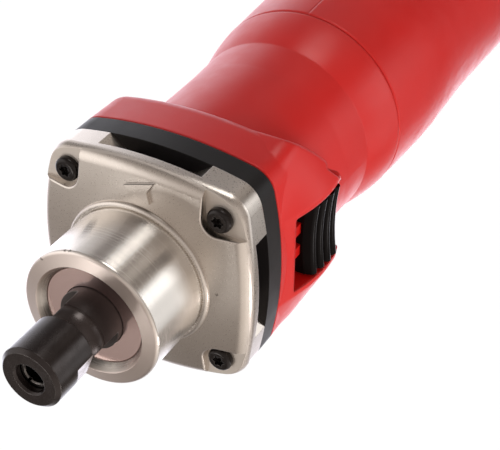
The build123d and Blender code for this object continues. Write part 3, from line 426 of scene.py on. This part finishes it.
def softbox(name, at, to, width, height, radiance, color=(1, 1, 1)):
    light = bpy.data.lights.new(name, "AREA")
    light.shape = "RECTANGLE"
    light.size, light.size_y = width, height
    light.energy = radiance * math.pi * width * height
    light.color = color
    ob = bpy.data.objects.new(name, light)
    bpy.context.scene.collection.objects.link(ob)
    at, to = Vector(at), Vector(to)
    ob.matrix_world = Matrix.Translation(at) @ (to - at).to_track_quat("-Z", "Y").to_matrix().to_4x4()
    ob.visible_glossy = False
    return ob


def lamp(name, at, to, across, radiance, color=(1, 1, 1)):
    """A round lamp that shows in polished metal."""
    ob = softbox(name, at, to, across, across, radiance, color)
    ob.data.shape = "DISK"
    ob.data.energy *= math.pi / 4
    ob.visible_glossy = True
    return ob


stage_floor()
MID = (-0.05, 0, 0)
softbox("side_key", (0.22, 0.55, -0.02), (-0.06, 0, 0), 0.3, 0.3, 8.1, (1.0, 0.97, 0.94))
softbox("front_key", (0.62, -0.75, 0.65), MID, 0.5, 0.5, 1.8)

lamp("low_lamp", (0.380, -0.146, -0.171), (0, 0, 0.005), 0.150, 5.0, (1.0, 0.98, 0.95))

# The room round the object, by direction: (height of the direction, brightness) on three sides.
FRONT = [(-1.0, 0.12), (-0.87, 0.22), (-0.77, 0.28), (-0.59, 0.31), (-0.28, 0.31), (0.0, 0.48), (0.25, 0.70),
         (0.6, 0.62), (1.0, 0.22)]
LEFT = [(-1.0, 0.60), (-0.80, 1.5), (-0.68, 2.5), (-0.56, 2.9), (-0.3, 1.9), (0.0, 1.6), (0.12, 1.0), (0.22, 0.75),
        (0.36, 0.50), (0.48, 0.28), (0.6, 0.16), (0.75, 0.34), (1.0, 0.20)]
RIGHT = [(-1.0, 0.9), (-0.77, 0.7), (-0.68, 0.3), (-0.57, 0.25), (-0.48, 0.8), (-0.42, 1.25), (-0.27, 1.5), (-0.1, 1.4), (0.03, 1.5),
         (0.12, 2.4), (0.34, 2.6), (0.41, 1.5), (0.47, 0.45), (0.53, 0.4), (0.6, 0.36), (0.66, 0.4), (0.74, 0.5), (1.0, 0.22)]
BEHIND = [(-1.0, 0.6), (-0.78, 0.44), (-0.66, 0.25), (-0.5, 0.17), (-0.3, 0.13), (0.1, 0.12), (0.5, 0.16),
          (0.64, 0.24), (0.74, 0.45), (1.0, 0.22)]
BESIDE = [(-1.0, 0.9), (-0.77, 0.7), (-0.6, 0.15), (-0.3, 0.4), (0.5, 0.4), (1.0, 0.22)]
WARM = ((1.0, 0.87, 0.78), (1.0, 1.0, 1.0))
COOL = ((1.0, 0.91, 0.88), (0.98, 0.97, 1.07))
scene = bpy.context.scene
world = bpy.data.worlds.new("studio")
scene.world = world
world.use_nodes = True
sky = world.node_tree
direction = sky.nodes.new("ShaderNodeTexCoord").outputs["Generated"]
parts = sky.nodes.new("ShaderNodeSeparateXYZ")
sky.links.new(direction, parts.inputs[0])


def sky_range(value, a, b, smooth=True):
    n = sky.nodes.new("ShaderNodeMapRange")
    n.interpolation_type = "SMOOTHSTEP" if smooth else "LINEAR"
    sky.links.new(value, n.inputs["Value"])
    n.inputs["From Min"].default_value = a
    n.inputs["From Max"].default_value = b
    return n.outputs["Result"]


def sky_ramp(stops, tones=WARM):
    n = sky.nodes.new("ShaderNodeValToRGB")
    sky.links.new(sky_range(parts.outputs[2], -1, 1, False), n.inputs["Fac"])
    ramp = n.color_ramp
    while len(ramp.elements) < len(stops):
        ramp.elements.new(0.5)
    for e, (z, light) in zip(ramp.elements, stops):
        e.position = (z + 1) / 2
        k = min(1.0, max(0.0, (light - 0.45) / 0.7))
        e.color = (*[light / 3 * (a + (b - a) * k) for a, b in zip(*tones)], 1.0)
    return n.outputs["Color"]


def sky_mix(fac, a, b):
    n = sky.nodes.new("ShaderNodeMix")
    n.data_type = "RGBA"
    sky.links.new(fac, n.inputs[0])
    sky.links.new(a, n.inputs[6])
    sky.links.new(b, n.inputs[7])
    return n.outputs[2]


def sky_spot(base, axis, inner, outer, light, color):
    """A soft round patch of light towards one direction, added to what is there."""
    d = sky.nodes.new("ShaderNodeVectorMath")
    d.operation = "DOT_PRODUCT"
    sky.links.new(direction, d.inputs[0])
    d.inputs[1].default_value = Vector(axis).normalized()
    n = sky.nodes.new("ShaderNodeMix")
    n.data_type = "RGBA"
    n.blend_type = "ADD"
    sky.links.new(sky_range(d.outputs["Value"], math.cos(math.radians(outer)), math.cos(math.radians(inner))), n.inputs[0])
    sky.links.new(base, n.inputs[6])
    n.inputs[7].default_value = (*[light / 3 * c for c in color], 1.0)
    return n.outputs[2]


turn = sky.nodes.new("ShaderNodeVectorMath")
turn.operation = "DOT_PRODUCT"
sky.links.new(direction, turn.inputs[0])
turn.inputs[1].default_value = (0.7071, 0.7071, 0.0)
right_sky = sky_mix(sky_range(turn.outputs["Value"], 0.18, 0.35), sky_ramp(RIGHT), sky_ramp(BESIDE))
right_sky = sky_mix(sky_range(turn.outputs["Value"], -0.07, 0.02), sky_ramp(BEHIND), right_sky)
rear_sky = sky_mix(sky_range(parts.outputs[1], -0.12, 0.38), sky_ramp(LEFT, COOL), right_sky)
whole_sky = sky_mix(sky_range(parts.outputs[0], -0.3, 0.35), rear_sky, sky_ramp(FRONT))
for axis, inner, outer, light, color in (
    ((0.45, 0.66, -0.52), 15, 45, 0.72, (1.0, 0.93, 0.86)),
    ((0.22, 0.76, -0.60), 6, 20, 0.3, (1.0, 0.97, 0.93)),
    ((-0.12, 0.79, -0.59), 3, 8, 9.0, (1.0, 0.94, 0.94)),
    ((0.84, -0.04, -0.54), 4, 11, 0.4, (1.0, 0.98, 0.95)),
    ((-0.78, -0.58, 0.22), 6, 18, 0.7, (0.92, 0.98, 1.12)),
    ((-0.58, -0.78, 0.22), 6, 16, 0.6, (1.0, 1.0, 1.06)),
    ((-0.58, -0.62, 0.52), 8, 20, 0.35, (1.0, 0.98, 0.98)),
    ((0.55, -0.80, 0.20), 15, 40, 0.9, (1.0, 0.99, 0.98)),
    ((-0.325, 0.08, 0.942), 7, 13, 5.5, (1.0, 0.98, 0.95)),
    ((-0.65, 0.40, 0.64), 3, 8, 0.35, (1.0, 0.95, 0.88)),
):
    whole_sky = sky_spot(whole_sky, axis, inner, outer, light, color)
sky.links.new(whole_sky, sky.nodes["Background"].inputs["Color"])
sky.nodes["Background"].inputs["Strength"].default_value = 3.0

AZ, EL, ROLL = (math.radians(v) for v in (28.77, 36.51, 0.65))
back = Vector((math.cos(EL) * math.cos(AZ), math.cos(EL) * math.sin(AZ), math.sin(EL)))
right = Vector((-math.sin(AZ), math.cos(AZ), 0))
up = back.cross(right)
right, up = math.cos(ROLL) * right + math.sin(ROLL) * up, math.cos(ROLL) * up - math.sin(ROLL) * right
cam = bpy.data.cameras.new("camera")
cam.sensor_fit = "HORIZONTAL"
cam.sensor_width = 36.0
cam.lens = 97.2
cam.clip_start = 0.01
cam.clip_end = 50
camera = bpy.data.objects.new("camera", cam)
scene.collection.objects.link(camera)
camera.matrix_world = Matrix.Translation((0.23150, 0.16955, 0.23542)) @ Matrix((right, up, back)).transposed().to_4x4()
scene.camera = camera
scene.view_settings.view_transform = "Standard"
